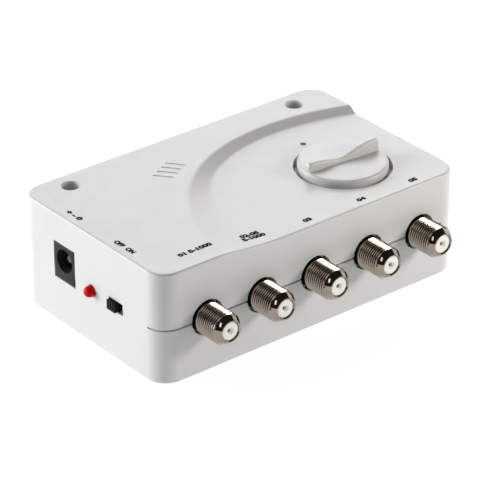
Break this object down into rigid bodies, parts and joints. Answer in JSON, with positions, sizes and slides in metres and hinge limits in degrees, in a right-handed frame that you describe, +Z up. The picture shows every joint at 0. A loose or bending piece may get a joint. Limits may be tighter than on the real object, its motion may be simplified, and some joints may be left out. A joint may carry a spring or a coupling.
{
  "type": "tv signal amplifier",
  "caption": "White plastic box amplifier for TV aerial signals: a row of threaded coaxial sockets in front, a gain knob on top, and a power jack, pilot light and slide switch at one end.",
  "frame": {"origin": "centre of the case footprint, on the plane it stands on", "axes": "+X along the row of sockets, from the end with the power jack to the end with the knob; +Y from the front with the sockets to the back; +Z up"},
  "size_m": [0.1105, 0.075, 0.0383],
  "materials": {
    "case_white": "white moulded plastic with a fine satin surface",
    "knob_white": "white moulded plastic, smooth",
    "zinc_steel": "zinc-plated steel",
    "tinplate": "tin-plated sheet steel",
    "tinned_lead": "tinned wire",
    "plated_brass": "nickel plating over brass, satin on the thread and bright on the nose",
    "gold_contact": "spring bronze with a gold flash",
    "white_insulator": "off-white plastic",
    "black_plastic": "black moulded plastic",
    "blue_plastic": "blue moulded plastic",
    "brown_board": "paper-phenolic board",
    "green_board": "glass-epoxy board with green solder mask",
    "red_lens": "clear red epoxy",
    "ferrite": "sintered ferrite",
    "tan_ceramic": "multilayer ceramic",
    "blue_sleeve": "shrink sleeve over an aluminium can",
    "copper_winding": "enamelled copper wire on a drum core"
  },
  "bodies": {
    "case": {"top_cover": "case_white", "base_tray": "case_white", "case_screws": "zinc_steel", "pot_housing": "blue_plastic", "pot_track": "brown_board", "pot_pins": "tinned_lead", "switch_can": "tinplate", "switch_base": "brown_board", "switch_pins": "gold_contact", "led_lens": "red_lens", "led_leads": "tinned_lead", "dc_jack_body": "black_plastic", "dc_jack_pin": "tinned_lead", "dc_jack_leaf": "gold_contact", "f_socket_1": "plated_brass", "f_socket_2": "plated_brass", "f_socket_3": "plated_brass", "f_socket_4": "plated_brass", "f_socket_5": "plated_brass", "f_insulator_1": "white_insulator", "f_insulator_2": "white_insulator", "f_insulator_3": "white_insulator", "f_insulator_4": "white_insulator", "f_insulator_5": "white_insulator", "f_contact_1": "gold_contact", "f_contact_2": "gold_contact", "f_contact_3": "gold_contact", "f_contact_4": "gold_contact", "f_contact_5": "gold_contact", "f_nuts": "zinc_steel", "f_washers": "zinc_steel", "main_board": "green_board", "board_screws": "zinc_steel", "shield_fence": "tinplate", "shield_lid": "tinplate", "amplifier_chip": "black_plastic", "ferrite_cores": "ferrite", "chip_resistors": "black_plastic", "chip_capacitors": "tan_ceramic", "supply_capacitors": "blue_sleeve", "voltage_regulator": "black_plastic", "choke_coil": "copper_winding", "rectifier_diode": "black_plastic"},
    "knob": {"gain_knob": "knob_white", "pot_shaft": "zinc_steel", "pot_wiper": "brown_board"},
    "slider": {"switch_slider": "black_plastic", "switch_bridge": "gold_contact"}
  },
  "joints": [
    {"name": "knob_turn", "type": "hinge", "parent": "case", "child": "knob", "pos_m": [0.029, -0.0103, 0.0325], "axis": [0, 0, 1], "range_deg": [-225, 45]},
    {"name": "switch_slide", "type": "slide", "parent": "case", "child": "slider", "axis": [0, -1, 0], "range_m": [0, 0.0016]}
  ]
}
